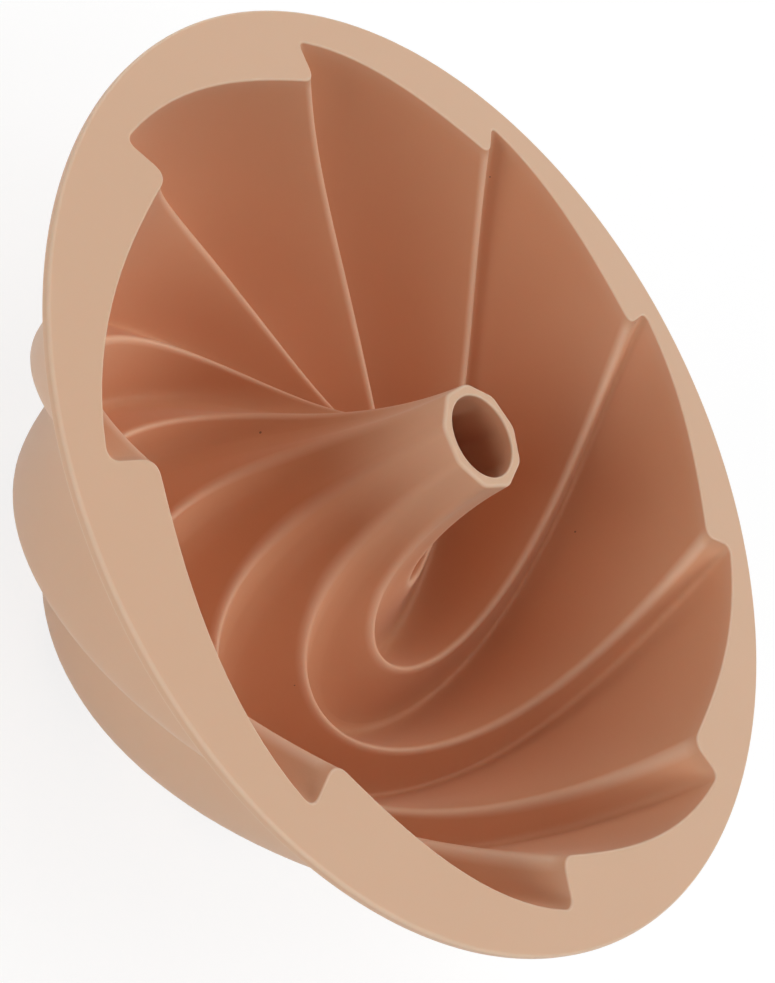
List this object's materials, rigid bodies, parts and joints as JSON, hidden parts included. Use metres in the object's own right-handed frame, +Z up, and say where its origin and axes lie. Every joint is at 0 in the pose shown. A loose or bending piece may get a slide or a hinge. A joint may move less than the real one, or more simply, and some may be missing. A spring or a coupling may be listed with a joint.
{
  "type": "tube cake pan",
  "caption": "Round one-piece moulded cake pan with swirling flutes, a flat rim and a central tube open through its tip.",
  "frame": {"origin": "on the tube's axis, at the level of the feet on which the pan stands", "axes": "+Z up through the tube, out of the open side; +X through one ridge where it meets the rim"},
  "size_m": [0.2399, 0.24, 0.0934],
  "materials": {
    "silicone": "matte moulded silicone with a faint satin sheen"
  },
  "bodies": {
    "root": {"tube_pan": "silicone"}
  },
  "joints": []
}
